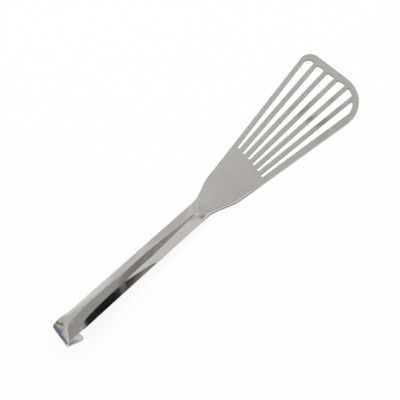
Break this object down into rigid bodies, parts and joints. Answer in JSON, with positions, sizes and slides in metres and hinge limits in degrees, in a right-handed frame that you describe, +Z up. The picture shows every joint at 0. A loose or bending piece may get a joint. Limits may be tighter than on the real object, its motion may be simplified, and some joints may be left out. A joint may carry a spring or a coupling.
{
  "type": "slotted spatula",
  "caption": "One-piece sheet-steel turner: flat flared blade with a fan of drain slots, narrow neck, ridged channel handle and an end folded back into a hook.",
  "frame": {"origin": "on the ground, under the centre of the bounding box, with the flat blade lying on the ground", "axes": "+X along the turner towards the front edge of the blade, +Y to the side of the tight front corner, +Z up, out of the blade's upper face"},
  "size_m": [0.329, 0.0698, 0.0239],
  "materials": {
    "steel": "satin blade, polished handle"
  },
  "bodies": {
    "root": {"spatula": "steel"}
  },
  "joints": []
}
